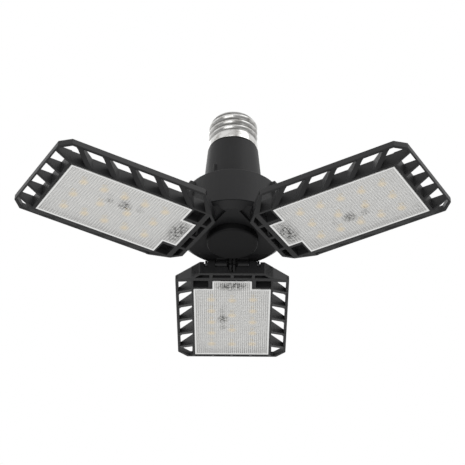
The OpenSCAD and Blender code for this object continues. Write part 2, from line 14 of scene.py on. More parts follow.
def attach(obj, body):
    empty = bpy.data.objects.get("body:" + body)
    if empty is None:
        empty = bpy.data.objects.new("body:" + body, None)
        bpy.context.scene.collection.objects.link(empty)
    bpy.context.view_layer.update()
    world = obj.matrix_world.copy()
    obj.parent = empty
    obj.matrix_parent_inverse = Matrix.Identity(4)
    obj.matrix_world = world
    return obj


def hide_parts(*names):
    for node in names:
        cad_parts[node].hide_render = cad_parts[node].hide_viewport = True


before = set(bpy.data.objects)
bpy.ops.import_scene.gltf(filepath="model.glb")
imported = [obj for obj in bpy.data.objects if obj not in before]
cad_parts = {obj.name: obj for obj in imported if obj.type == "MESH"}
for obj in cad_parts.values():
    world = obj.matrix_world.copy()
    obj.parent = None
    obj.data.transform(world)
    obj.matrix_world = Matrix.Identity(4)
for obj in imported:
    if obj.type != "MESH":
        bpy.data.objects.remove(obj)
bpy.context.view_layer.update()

LOG = logging.getLogger("garage_light")

MM = 0.001              # metres in a millimetre
SLIVER = 1e-3           # millimetres: shorter edges are dropped from cut and rounded shapes
CAD_SLIVER = 5e-3       # millimetres: the same for copies of CAD nodes
FLAT = math.radians(0.5)
PAST = 1.0              # millimetres by which a cutting tool runs past what it cuts
BOTH = (-1, 1)          # the two sides of a panel's middle line

Outline = Sequence[tuple[float, float]]
Colour = tuple[float, float, float]
Mesh = bmesh.types.BMesh


class Side(Enum):
    """The three folding panels, each with the direction in which it points, in degrees."""

    BACK = 90.0
    LEFT = 210.0
    RIGHT = 330.0

    @property
    def label(self) -> str:
        """The word with which the names of this panel's nodes begin."""
        return self.name.lower()

    @property
    def body(self) -> str:
        """The CAD body that this panel's pieces ride on."""
        return f"{self.label}_panel"


class Hold(Enum):
    """Whether a rounding keeps its width or gives way where edges lie close together."""

    FREE = False
    CLAMPED = True


# ---------------------------------------------------------------- layout along a panel


@dataclass(frozen=True)
class Row:
    """A row of packages: where it starts, its pitch and count, and its lines beside the middle."""

    first_u: float
    pitch: float
    count: int
    lines: tuple[float, ...]


@dataclass(frozen=True)
class Shadow:
    """A dark patch that something behind the lens makes: its middle, half sizes and depth."""

    u: float
    v: float
    long: float
    wide: float
    depth: float


ROWS = (Row(45.4, 11.4, 5, (-11.2, 11.2)), Row(46.2, 15.0, 4, (0.0,)))
SHADOWS = (
    Shadow(65.0, 5.0, 4.8, 3.8, 1.0),       # regulator
    Shadow(56.4, 5.4, 2.8, 2.4, 0.4),       # inner resistor
    Shadow(73.6, 5.0, 3.2, 2.6, 0.6),       # outer resistor
    Shadow(32.0, 0.0, 5.6, 10.5, 1.0))      # terminal


# ---------------------------------------------------------------- shading


class Amount:
    """A number that varies over a surface: one socket, with arithmetic."""

    def __init__(self, graph: "Graph", socket: bpy.types.NodeSocket) -> None:
        """Keeps the socket and the graph that its maths nodes go into."""
        self.graph = graph
        self.socket = socket

    def maths(self, operation: str, *values: Any) -> "Amount":
        """Adds one Math node.

        Args:
            operation: the Math node's operation.
            values: its inputs, each a number or an Amount.

        Returns:
            The node's result.
        """
        return self.graph.node("ShaderNodeMath", {"operation": operation}, dict(enumerate(values)))

    def __add__(self, other: Any) -> "Amount":
        """Sum."""
        return self.maths("ADD", self, other)

    def __sub__(self, other: Any) -> "Amount":
        """Difference."""
        return self.maths("SUBTRACT", self, other)

    def __mul__(self, other: Any) -> "Amount":
        """Product."""
        return self.maths("MULTIPLY", self, other)

    def __truediv__(self, other: Any) -> "Amount":
        """Quotient."""
        return self.maths("DIVIDE", self, other)

    def __pow__(self, other: Any) -> "Amount":
        """Power."""
        return self.maths("POWER", self, other)

    def __rsub__(self, other: Any) -> "Amount":
        """Difference from a plain number."""
        return self.maths("SUBTRACT", other, self)

    __radd__ = __add__
    __rmul__ = __mul__

    def above(self, limit: float) -> "Amount":
        """1 where this is more than the limit, else 0."""
        return self.maths("GREATER_THAN", self, limit)

    def wave(self, pitch: float) -> "Amount":
        """Triangle wave of the given pitch: 0 on its lines and 1 halfway between them."""
        return self.maths("PINGPONG", self, pitch / 2) * (2 / pitch)

    def most(self, other: Any) -> "Amount":
        """The larger of the two."""
        return self.maths("MAXIMUM", self, other)

    def size(self) -> "Amount":
        """The value without its sign."""
        return self.maths("ABSOLUTE", self)


class Graph:
    """The node graph of one material."""

    def __init__(self, name: str) -> None:
        """Makes the material with its main shader.

        Args:
            name: the material's name.
        """
        self.material = bpy.data.materials.new(name)
        self.material.use_nodes = True
        self.tree = self.material.node_tree
        self.shader = self.tree.nodes["Principled BSDF"]

    def node(self, kind: str, settings: dict[str, Any], values: dict[Any, Any], output: str = "") -> Amount:
        """Adds a node.

        Args:
            kind: the node's type.
            settings: its own settings, which are set before its sockets.
            values: numbers, tuples or Amounts for its sockets, by place, identifier or name.
            output: identifier or name of the output to read, the first if empty.

        Returns:
            That output.
        """
        made = self.tree.nodes.new(kind)
        for key, value in settings.items():
            setattr(made, key, value)
        for key, value in values.items():
            self.feed(self.find(made.inputs, key), value)
        return Amount(self, self.find(made.outputs, output or 0))

    @staticmethod
    def find(sockets: Any, key: Any) -> bpy.types.NodeSocket:
        """Finds a socket.

        Args:
            sockets: the inputs or outputs of a node.
            key: the socket's place, identifier or name.

        Returns:
            That socket.
        """
        if isinstance(key, int):
            return sockets[key]
        return next(s for s in sockets if key in (s.identifier, s.name))

    def feed(self, socket: bpy.types.NodeSocket, value: Any) -> None:
        """Links or sets one socket.

        Args:
            socket: the socket.
            value: an Amount to link, or a number or tuple to set; a colour is made opaque.
        """
        if isinstance(value, Amount):
            self.tree.links.new(value.socket, socket)
        elif isinstance(value, tuple) and socket.type == "RGBA":
            socket.default_value = (*value, 1.0)
        else:
            socket.default_value = value

    def shade(self, **values: Any) -> bpy.types.Material:
        """Sets the main shader's sockets.

        Args:
            values: one entry for each socket, with underscores for the spaces in its name.

        Returns:
            The finished material.
        """
        for key, value in values.items():
            self.feed(self.shader.inputs[key.replace("_", " ")], value)
        return self.material

    def place(self) -> Amount:
        """The object's own coordinates, in metres."""
        return self.node("ShaderNodeTexCoord", {}, {}, "Object")

    def split(self, vector: Amount) -> tuple[Amount, Amount, Amount]:
        """The three coordinates of a point."""
        outputs = self.node("ShaderNodeSeparateXYZ", {}, {0: vector}).socket.node.outputs
        return Amount(self, outputs[0]), Amount(self, outputs[1]), Amount(self, outputs[2])

    def mapped(self, vector: Amount, scale: Any, turn: Any = (0, 0, 0), move: Any = (0, 0, 0)) -> Amount:
        """Coordinates scaled, turned and moved by a Mapping node."""
        return self.node("ShaderNodeMapping", {}, {
            "Vector": vector, "Scale": scale, "Rotation": turn, "Location": move})

    def noise(self, vector: Amount, size_mm: float, detail: float = 2.0, rough: float = 0.5) -> Amount:
        """Noise whose blotches are about size_mm across."""
        return self.node("ShaderNodeTexNoise", {}, {
            "Vector": vector, "Scale": 1 / (size_mm * MM), "Detail": detail, "Roughness": rough})

    def mix(self, factor: Amount, low: Any, high: Any) -> Amount:
        """A colour between two, by the factor."""
        return self.node("ShaderNodeMix", {"data_type": "RGBA"}, {
            "Factor_Float": factor, "A_Color": low, "B_Color": high}, "Result_Color")

    def spread(self, value: Amount, low: float, high: float, to_low: float = 0.0,
               to_high: float = 1.0) -> Amount:
        """The value with the span low..high stretched to to_low..to_high, and clamped."""
        return self.node("ShaderNodeMapRange", {}, {
            "Value": value, "From Min": low, "From Max": high, "To Min": to_low, "To Max": to_high})

    def bump(self, height: Amount, depth_mm: float) -> Amount:
        """A normal that follows the height."""
        return self.node("ShaderNodeBump", {}, {
            "Height": height, "Distance": depth_mm * MM, "Strength": 1.0})


@dataclass(frozen=True)
class MouldedPlastic:
    """Plastic with a fine spark-eroded grain, cloudy in tone where it has been handled."""

    name: str
    dark: Colour
    light: Colour
    roughness: float = 0.5
    specular: float = 0.32
    grain_mm: float = 0.32
    grain_depth_mm: float = 0.02
    cloud_mm: float = 11.0
    scuff_mm: float = 2.2

    def material(self) -> bpy.types.Material:
        """Makes the material.

        Returns:
            The new material.
        """
        graph = Graph(self.name)
        place = graph.place()
        grain = graph.noise(place, self.grain_mm, 3.0, 0.6)
        cloud = graph.noise(place, self.cloud_mm, 3.0, 0.55)
        upright = graph.mapped(place, (1.0, 1.0, 0.25))
        scuff = graph.spread(graph.noise(upright, self.scuff_mm, 4.0, 0.7), 0.6, 0.78)
        tone = graph.spread(grain, 0.32, 0.68) * 0.45 + graph.spread(cloud, 0.35, 0.65) * 0.4 + scuff * 0.3
        return graph.shade(
            Base_Color=graph.mix(tone, self.dark, self.light),
            Roughness=self.roughness + (cloud - 0.5) * 0.16 + (grain - 0.5) * 0.1,
            Specular_IOR_Level=self.specular,
            Normal=graph.bump(grain, self.grain_depth_mm))


@dataclass(frozen=True)
class TurnedMetal:
    """Plated or plain metal with fine turning lines and faint stains."""

    name: str
    colour: Colour
    stain: Colour
    roughness: float = 0.24
    line_mm: float = 0.12
    line_depth_mm: float = 0.004
    stain_mm: float = 3.5
    stain_span: tuple[float, float] = (0.48, 0.72)

    def lines(self, graph: Graph, place: Amount) -> Amount:
        """Fine lines that run round the upright axis."""
        return graph.noise(graph.mapped(place, (0.06, 0.06, 1.0)), self.line_mm, 2.0)

    def stains(self, graph: Graph, place: Amount) -> Amount:
        """How stained each point is, from 0 to 1."""
        return graph.spread(graph.noise(place, self.stain_mm, 4.0, 0.62), *self.stain_span)

    def material(self) -> bpy.types.Material:
        """Makes the material.

        Returns:
            The new material.
        """
        graph = Graph(self.name)
        place = graph.place()
        lines, stain = self.lines(graph, place), self.stains(graph, place)
        return graph.shade(
            Base_Color=graph.mix(stain, self.colour, self.stain),
            Metallic=1.0,
            Roughness=self.roughness + (lines - 0.5) * 0.14 + stain * 0.12,
            Normal=graph.bump(lines, self.line_depth_mm))


@dataclass(frozen=True)
class ThreadedMetal(TurnedMetal):
    """Plated metal with a thread whose valleys are rougher and painted dark as shade."""

    stain_span: tuple[float, float] = (0.46, 0.7)
    pitch_mm: float = 3.63
    foot_mm: float = 4.9
    # colour of the painted shade deep in the thread's valleys
    valley: Colour = (0.06, 0.058, 0.055)

    def groove(self, graph: Graph, place: Amount) -> Amount:
        """How deep each point lies in the thread.

        Args:
            graph: the material's graph.
            place: the object's own coordinates.

        Returns:
            From 0, on the crest or below the thread, to 1 in the valley.
        """
        across, ahead, up = graph.split(place)
        rise = ahead.maths("ARCTAN2", ahead, across) * (self.pitch_mm * MM / math.tau)
        height = up - self.foot_mm * MM
        return ((height - rise).wave(self.pitch_mm * MM) ** 1.2) * graph.spread(height, -0.4 * MM, 0.8 * MM)

    def material(self) -> bpy.types.Material:
        """Makes the material.

        Returns:
            The new material.
        """
        graph = Graph(self.name)
        place = graph.place()
        lines, stain = self.lines(graph, place), self.stains(graph, place)
        groove = self.groove(graph, place)
        return graph.shade(
            # painted shade: the colour darkens towards the valley colour deep in the thread
            Base_Color=graph.mix(groove * 0.9, graph.mix(stain, self.colour, self.stain), self.valley),
            Metallic=1.0,
            Roughness=self.roughness + (lines - 0.5) * 0.14 + stain * 0.12 + groove * 0.1,
            Normal=graph.bump(lines, self.line_depth_mm))


@dataclass(frozen=True)
class CircuitBoard:
    """Board with a solder mask over copper tracks, which show as a faint relief."""

    name: str
    mask: Colour
    over_copper: Colour
    track_mm: float = 5.2
    roughness: float = 0.42
    fleck_mm: float = 0.5
    relief_mm: float = 0.03

    def material(self) -> bpy.types.Material:
        """Makes the material.

        Returns:
            The new material.
        """
        graph = Graph(self.name)
        place = graph.place()
        cells = graph.node("ShaderNodeTexVoronoi", {
            "feature": "DISTANCE_TO_EDGE", "distance": "CHEBYCHEV"}, {
            "Vector": place, "Scale": 1 / (self.track_mm * MM), "Randomness": 0.72})
        track = graph.spread(cells, 0.05, 0.09)
        fleck = graph.noise(place, self.fleck_mm, 3.0)
        return graph.shade(
            Base_Color=graph.mix(track * 0.8 + fleck * 0.2, self.mask, self.over_copper),
            Roughness=self.roughness + (fleck - 0.5) * 0.12,
            Normal=graph.bump(track, self.relief_mm))


@dataclass(frozen=True)
class Speckled:
    """Sleeve, lacquer, ferrite or rubber: two close tones, fine pits and an even sheen."""

    name: str
    dark: Colour
    light: Colour
    roughness: float
    speck_mm: float = 0.6
    pit_mm: float = 0.015

    def material(self) -> bpy.types.Material:
        """Makes the material.

        Returns:
            The new material.
        """
        graph = Graph(self.name)
        place = graph.place()
        speck = graph.noise(place, self.speck_mm, 4.0, 0.6)
        drift = graph.noise(place, 8 * self.speck_mm, 2.0)
        tone = graph.spread(speck * 0.6 + drift * 0.4, 0.38, 0.62)
        return graph.shade(
            Base_Color=graph.mix(tone, self.dark, self.light),
            Roughness=self.roughness + (speck - 0.5) * 0.2,
            Normal=graph.bump(speck, self.pit_mm))


@dataclass(frozen=True)
class Winding:
    """Enamelled wire laid turn by turn."""

    name: str
    wire: Colour
    shade: Colour
    wire_mm: float = 0.4
    uneven_mm: float = 1.2
    relief_mm: float = 0.12

    def material(self) -> bpy.types.Material:
        """Makes the material.

        Returns:
            The new material.
        """
        graph = Graph(self.name)
        place = graph.place()
        turn = graph.split(place)[2].wave(self.wire_mm * MM)
        uneven = graph.noise(place, self.uneven_mm, 2.0)
        return graph.shade(
            Base_Color=graph.mix(turn * 0.7 + uneven * 0.3, self.shade, self.wire),
            Metallic=0.85,
            Roughness=0.3 + (uneven - 0.5) * 0.2,
            Normal=graph.bump(turn, self.relief_mm))


@dataclass(frozen=True)
class Lens:
    """Frosted clear plastic, more open along the valleys of its fine prisms, warm over each package."""

    name: str
    colour: Colour
    shade: Colour
    body: float
    valley: float
    pitch_u: float = 1.5
    pitch_v: float = 1.1
    first_u: float = 36.2
    first_v: float = -19.2
    sharpness: float = 2.2
    roughness: float = 0.34
    specular: float = 0.4
    cloud_mm: float = 6.0
    glow: Colour = (1.0, 0.87, 0.66)
    glow_core: float = 0.8
    glow_r: float = 2.9
    glow_from: float = 40.0
    glow_to: float = 96.0
    dark: Colour = (0.05, 0.05, 0.048)
    mottle_mm: float = 1.1

    def glows(self, graph: Graph, along: Amount, across: Amount) -> Amount:
        """Finds the warm spots over the packages.

        Args:
            graph: the material's graph.
            along: distance along the panel, in millimetres.
            across: distance from its middle line.

        Returns:
            How near each point lies to a package, from 0 to 1.
        """
        total: Any = 0.0
        for row in ROWS:
            step = (along - row.first_u).wave(row.pitch) * (row.pitch / 2)
            gap = (step ** 2.0 + (across.size() - row.lines[-1]).size() ** 2.0) ** 0.5
            total = graph.spread(gap, self.glow_core, self.glow_r, 1.0, 0.0).most(total)
        return total * along.above(self.glow_from) * (1 - along.above(self.glow_to))

    def shadows(self, graph: Graph, along: Amount, across: Amount, valley: Amount) -> Amount:
        """Finds the dark patches over the regulator, the resistors and the terminal.

        Args:
            graph: the material's graph.
            along: distance along the panel, in millimetres.
            across: distance from its middle line.
            valley: how near each point lies to a valley between the prisms.

        Returns:
            How dark each point is, from 0 up.
        """
        total: Any = 0.0
        for patch in SHADOWS:
            gap = (((along - patch.u).size() / patch.long) ** 2.0
                   + ((across - patch.v).size() / patch.wide) ** 2.0) ** 0.5
            total = graph.spread(gap, 0.35, 1.0, patch.depth, 0.0).most(total)
        mottle = graph.spread(graph.noise(graph.place(), self.mottle_mm, 1.0), 0.42, 0.6)
        return total * (mottle * 0.75 + valley * 0.6)

    def material(self, panel: Matrix) -> bpy.types.Material:
        """Makes the material for one panel.

        Args:
            panel: the panel's place in the whole light, in millimetres.

        Returns:
            The material, whose pattern lies along that panel.
        """
        graph = Graph(self.name)
        back = panel.inverted()
        local = graph.mapped(graph.place(), (1 / MM,) * 3, tuple(back.to_euler()), tuple(back.translation))
        along, across, _ = graph.split(local)
        along_lines = (1 - (along - self.first_u).wave(self.pitch_u)) ** self.sharpness
        across_lines = (1 - (across - self.first_v).wave(self.pitch_v)) ** self.sharpness
        valley = (along_lines * 0.65).most(across_lines)
        cloud = graph.noise(graph.place(), self.cloud_mm, 3.0)
        plain = graph.mix(valley * 0.8 + cloud * 0.2, self.colour, self.shade)
        warm = graph.mix(self.glows(graph, along, across), plain, self.glow)
        return graph.shade(
            Base_Color=graph.mix(self.shadows(graph, along, across, valley), warm, self.dark),
            Roughness=self.roughness + (cloud - 0.5) * 0.12,
            Alpha=self.body + valley * (self.valley - self.body),
            Specular_IOR_Level=self.specular)


BLACK_CASE = MouldedPlastic("black_case", (0.0078, 0.0078, 0.0082), (0.0165, 0.0165, 0.0175), 0.5, 0.24)
# painted shade: the cap's finish is the case's black plastic made darker, standing for shade on its downward
# face
SHADED_CAP_BLACK = MouldedPlastic("shaded_cap_black", (0.0036, 0.0036, 0.0038), (0.0076, 0.0076, 0.008), 0.5, 0.13)
BLACK_PANEL = MouldedPlastic("black_panel", (0.0115, 0.0115, 0.012), (0.024, 0.024, 0.025), 0.47)
NICKEL = ThreadedMetal("nickel_shell", (0.68, 0.675, 0.66), (0.34, 0.33, 0.31), 0.17)
BRASS = TurnedMetal("tip_brass", (0.8, 0.64, 0.34), (0.5, 0.36, 0.17), 0.28)
STEEL = TurnedMetal("screw_steel", (0.56, 0.56, 0.57), (0.36, 0.35, 0.34), 0.3, 0.2)
DARK_STEEL = TurnedMetal("hinge_steel", (0.06, 0.06, 0.063), (0.03, 0.03, 0.03), 0.5, 0.2)
TIP_GLASS = Speckled("tip_insulator", (0.015, 0.015, 0.016), (0.04, 0.04, 0.042), 0.18, 1.1)
WHITE_BOARD = CircuitBoard("white_board", (0.84, 0.85, 0.84), (0.93, 0.93, 0.91))
GREEN_BOARD = CircuitBoard("driver_board", (0.02, 0.12, 0.045), (0.05, 0.24, 0.1), 3.4, 0.3)
PACKAGE_BODY = Speckled("package_body", (0.82, 0.81, 0.77), (0.9, 0.89, 0.86), 0.4, 0.3)
PHOSPHOR = Speckled("phosphor", (0.78, 0.5, 0.06), (0.93, 0.66, 0.14), 0.45, 0.25)
CHIP = Speckled("chip_case", (0.012, 0.012, 0.013), (0.035, 0.035, 0.036), 0.55, 0.2)
TINNED = TurnedMetal("tinned_legs", (0.72, 0.72, 0.7), (0.5, 0.5, 0.48), 0.35, 0.2)
TERMINAL = Speckled("terminal_case", (0.02, 0.02, 0.02), (0.06, 0.06, 0.06), 0.5, 0.4)
BLACK_LEAD = Speckled("panel_lead", (0.015, 0.015, 0.016), (0.035, 0.035, 0.036), 0.5, 0.5)
WHITE_LEAD = Speckled("lead_sleeve", (0.68, 0.68, 0.64), (0.82, 0.82, 0.78), 0.5, 0.5)
RED_LEAD = Speckled("red_lead", (0.35, 0.02, 0.015), (0.5, 0.045, 0.03), 0.48, 0.5)
CAN_SLEEVE = Speckled("can_sleeve", (0.015, 0.03, 0.1), (0.04, 0.07, 0.2), 0.25, 1.6)
FERRITE = Speckled("ferrite_core", (0.03, 0.03, 0.032), (0.09, 0.09, 0.095), 0.7, 0.4, 0.04)
COPPER = Winding("copper_winding", (0.75, 0.32, 0.12), (0.3, 0.1, 0.03))
FILM = Speckled("film_case", (0.33, 0.04, 0.02), (0.52, 0.09, 0.05), 0.2, 1.2)
FUSE = Speckled("fuse_lacquer", (0.05, 0.18, 0.11), (0.1, 0.3, 0.2), 0.4, 0.5)
LENS_FIELD = Lens("lens_field", (1.0, 0.995, 0.975), (0.55, 0.55, 0.54), 0.92, 0.42)
LENS_BORDER = Speckled("lens_border", (0.96, 0.96, 0.945), (0.99, 0.99, 0.98), 0.22, 2.5, 0.004)
LENS_INSIDE = Lens("lens_inside", (0.95, 0.95, 0.94), (0.9, 0.9, 0.9), 0.06, 0.04)
FLOOR_PAINT = Speckled("floor_paint", (0.86, 0.86, 0.86), (0.88, 0.88, 0.88), 0.8, 40.0)


# ---------------------------------------------------------------- shapes


def only(kind: type, found: Iterable[Any]) -> list[Any]:
    """The vertices, edges or faces in what an operator returns."""
    return [item for item in found if isinstance(item, kind)]


def placed(name: str, data: bpy.types.ID) -> bpy.types.Object:
    """Makes an object and links it into the scene.

    Args:
        name: the object's name.
        data: its mesh, lamp or camera.

    Returns:
        The new object.
    """
    made = bpy.data.objects.new(name, data)
    bpy.context.scene.collection.objects.link(made)
    return made


def plate(outline: Outline, low: float, high: float, place: Matrix | None = None) -> Mesh:
    """Extrudes an outline into a plate.

    Args:
        outline: corners in order, in millimetres.
        low: height of the plate's lower face.
        high: height of its upper face.
        place: where the plate goes, at the origin if left out.

    Returns:
        A closed mesh.
    """
    part = bmesh.new()
    floor = part.faces.new([part.verts.new((x, y, low)) for x, y in outline])
    grown = bmesh.ops.extrude_face_region(part, geom=[floor])["geom"]
    bmesh.ops.translate(part, vec=(0, 0, high - low), verts=only(bmesh.types.BMVert, grown))
    if place is not None:
        bmesh.ops.transform(part, matrix=place, verts=part.verts)
    bmesh.ops.recalc_face_normals(part, faces=part.faces)
    return part


def box(low: Sequence[float], high: Sequence[float]) -> Mesh:
    """A block between two corners."""
    (x0, y0, z0), (x1, y1, z1) = low, high
    return plate([(x0, y0), (x1, y0), (x1, y1), (x0, y1)], z0, z1)


def lathe(profile: Outline, steps: int = 96, closed: bool = True) -> Mesh:
    """Spins a profile round the vertical axis.

    Args:
        profile: points of (radius, height), in millimetres.
        steps: how many flats make the full turn.
        closed: whether the last point joins the first; otherwise both lie on the axis.

    Returns:
        A closed mesh.
    """
    part = bmesh.new()
    points = [part.verts.new((r, 0, z)) for r, z in profile]
    edges = [part.edges.new(pair) for pair in zip(points, points[1:])]
    if closed:
        edges.append(part.edges.new((points[-1], points[0])))
    bmesh.ops.spin(part, geom=points + edges, cent=(0, 0, 0), axis=(0, 0, 1), angle=math.tau, steps=steps,
                   use_merge=True)
    bmesh.ops.remove_doubles(part, verts=part.verts, dist=1e-4)
    bmesh.ops.recalc_face_normals(part, faces=part.faces)
    return part


def rod(radius: float, start: Vector, end: Vector, steps: int = 32) -> Mesh:
    """Makes a round bar.

    Args:
        radius: its radius, in millimetres.
        start: the middle of one end.
        end: the middle of the other.
        steps: how many flats go round it.

    Returns:
        A closed mesh.
    """
    way = end - start
    part = lathe([(0, 0), (radius, 0), (radius, way.length), (0, way.length)], steps, False)
    turn = way.to_track_quat("Z", "Y").to_matrix().to_4x4()
    bmesh.ops.transform(part, matrix=Matrix.Translation(start) @ turn, verts=part.verts)
    return part


def ease(part: Mesh, width: float, segments: int = 2, sharp: float = 30.0, shortest: float = 0.0,
         hold: Hold = Hold.CLAMPED) -> Mesh:
    """Rounds the sharp edges of a mesh.

    Args:
        part: the mesh, which is changed.
        width: width of the rounding, in millimetres.
        segments: how many strips make it.
        sharp: least angle at an edge that is rounded, in degrees.
        shortest: least length of an edge that is rounded.
        hold: whether the width gives way where edges lie close together.

    Returns:
        The same mesh.
    """
    edges = [e for e in part.edges
             if e.is_manifold and e.calc_face_angle() > math.radians(sharp) and e.calc_length() >= shortest]
    bmesh.ops.bevel(part, geom=edges, offset=width, offset_type="OFFSET", affect="EDGES", segments=segments,
                    profile=0.5, material=-1, clamp_overlap=hold.value)
    bmesh.ops.dissolve_degenerate(part, dist=SLIVER, edges=part.edges)
    return part


def trimmed(part: Mesh, point: Sequence[float], normal: Sequence[float]) -> Mesh:
    """Cuts away what lies beyond a plane, and closes the cut.

    Args:
        part: the mesh, which is changed.
        point: a point on the plane.
        normal: the plane's direction, towards what goes.

    Returns:
        The same mesh.
    """
    cut = bmesh.ops.bisect_plane(part, geom=part.verts[:] + part.edges[:] + part.faces[:], plane_co=point,
                                 plane_no=normal, clear_outer=True)["geom_cut"]
    bmesh.ops.contextual_create(part, geom=only(bmesh.types.BMEdge, cut))
    bmesh.ops.recalc_face_normals(part, faces=part.faces)
    return part


def joined(part: Mesh, merge: float) -> Mesh:
    """Joins vertices that nearly meet, and faces that lie flat beside each other.

    Args:
        part: the mesh, which is changed.
        merge: how far apart joined vertices may lie.

    Returns:
        The same mesh.
    """
    bmesh.ops.remove_doubles(part, verts=part.verts, dist=merge)
    bmesh.ops.dissolve_limit(part, angle_limit=FLAT, verts=part.verts, edges=part.edges)
    return part


def carve(block: Mesh, tools: Sequence[Mesh]) -> Mesh:
    """Cuts the tools out of the block, and frees them all.

    Args:
        block: the mesh to cut.
        tools: closed meshes, which may overlap each other.

    Returns:
        What is left of the block.
    """
    cutter = Shape()
    for tool in tools:
        cutter.take(tool)
    pair = []
    for label, source in (("block", block), ("cutter", cutter.mesh)):
        data = bpy.data.meshes.new(label)
        source.to_mesh(data)
        source.free()
        pair.append(placed(label, data))
    modifier = pair[0].modifiers.new("carve", "BOOLEAN")
    modifier.operation = "DIFFERENCE"
    modifier.solver = "EXACT"
    modifier.use_self = True
    modifier.object = pair[1]
    left = bmesh.new()
    left.from_object(pair[0], bpy.context.evaluated_depsgraph_get())
    for made in pair:
        data = made.data
        bpy.data.objects.remove(made)
        bpy.data.meshes.remove(data)
    return joined(left, SLIVER)


def copied(node: str) -> Mesh:
    """Copies a CAD node's mesh, with its loose triangles joined.

    Args:
        node: the node's name.

    Returns:
        A closed mesh in millimetres.
    """
    part = bmesh.new()
    part.from_mesh(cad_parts[node].data)
    bmesh.ops.scale(part, vec=(1 / MM,) * 3, verts=part.verts)
    return joined(part, CAD_SLIVER)


class Shape:
    """A piece under construction, in millimetres, made of closed parts."""

    def __init__(self) -> None:
        """Starts empty."""
        self.mesh = bmesh.new()

    def take(self, part: Mesh, index: int | None = None) -> "Shape":
        """Adds a part and frees it.

        Args:
            part: the part's mesh.
            index: material index for all its faces, or None to keep what they have.

        Returns:
            This shape.
        """
        if index is not None:
            for face in part.faces:
                face.material_index = index
        scratch = bpy.data.meshes.new("scratch")
        part.to_mesh(scratch)
        part.free()
        self.mesh.from_mesh(scratch)
        bpy.data.meshes.remove(scratch)
        return self


@dataclass
class Piece:
    """What a finished piece is called, what it rides on and which CAD nodes it stands for."""

    name: str
    body: str
    slot: str
    stands_for: tuple[str, ...]
    smooth_below: float = 38.0

    def finish(self, mesh: Mesh, materials: Sequence[bpy.types.Material],
               place: Matrix | None = None) -> None:
        """Turns a mesh in millimetres into a piece of the light.

        Args:
            mesh: the mesh, which is freed.
            materials: one for each material index.
            place: the piece's place in the light, in millimetres.
        """
        to_metres = Matrix.Scale(MM, 4) @ (place or Matrix.Identity(4))
        bmesh.ops.transform(mesh, matrix=to_metres, verts=mesh.verts)
        data = bpy.data.meshes.new(self.name)
        mesh.to_mesh(data)
        mesh.free()
        for material in materials:
            data.materials.append(material)
        data.polygons.foreach_set("use_smooth", [True] * len(data.polygons))
        data.set_sharp_from_angle(angle=math.radians(self.smooth_below))
        made = placed(self.name, data)
        weighted = made.modifiers.new("even_faces", "WEIGHTED_NORMAL")
        weighted.keep_sharp = True
        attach(made, self.body)
        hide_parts(*self.stands_for)
        LOG.info("%s: %d faces, rides on %s", self.name, len(data.polygons), self.body)


class Paint:
    """Makes each finish's material once and hands it out."""

    made: dict[str, bpy.types.Material] = {}

    @classmethod
    def of(cls, finish: Any) -> bpy.types.Material:
        """Hands out a finish's material.

        Args:
            finish: the finish.

        Returns:
            Its material, which is made the first time.
        """
        if finish.name not in cls.made:
            cls.made[finish.name] = finish.material()
        return cls.made[finish.name]

    @classmethod
    def dress(cls, node: str, finish: Any) -> None:
        """Gives a CAD node its finish and leaves its shape as it is.

        Args:
            node: the node's name.
            finish: the finish.
        """
        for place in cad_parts[node].material_slots:
            place.material = cls.of(finish)
        LOG.info("%s: CAD node in %s", node, finish.name)


# ---------------------------------------------------------------- fixed body


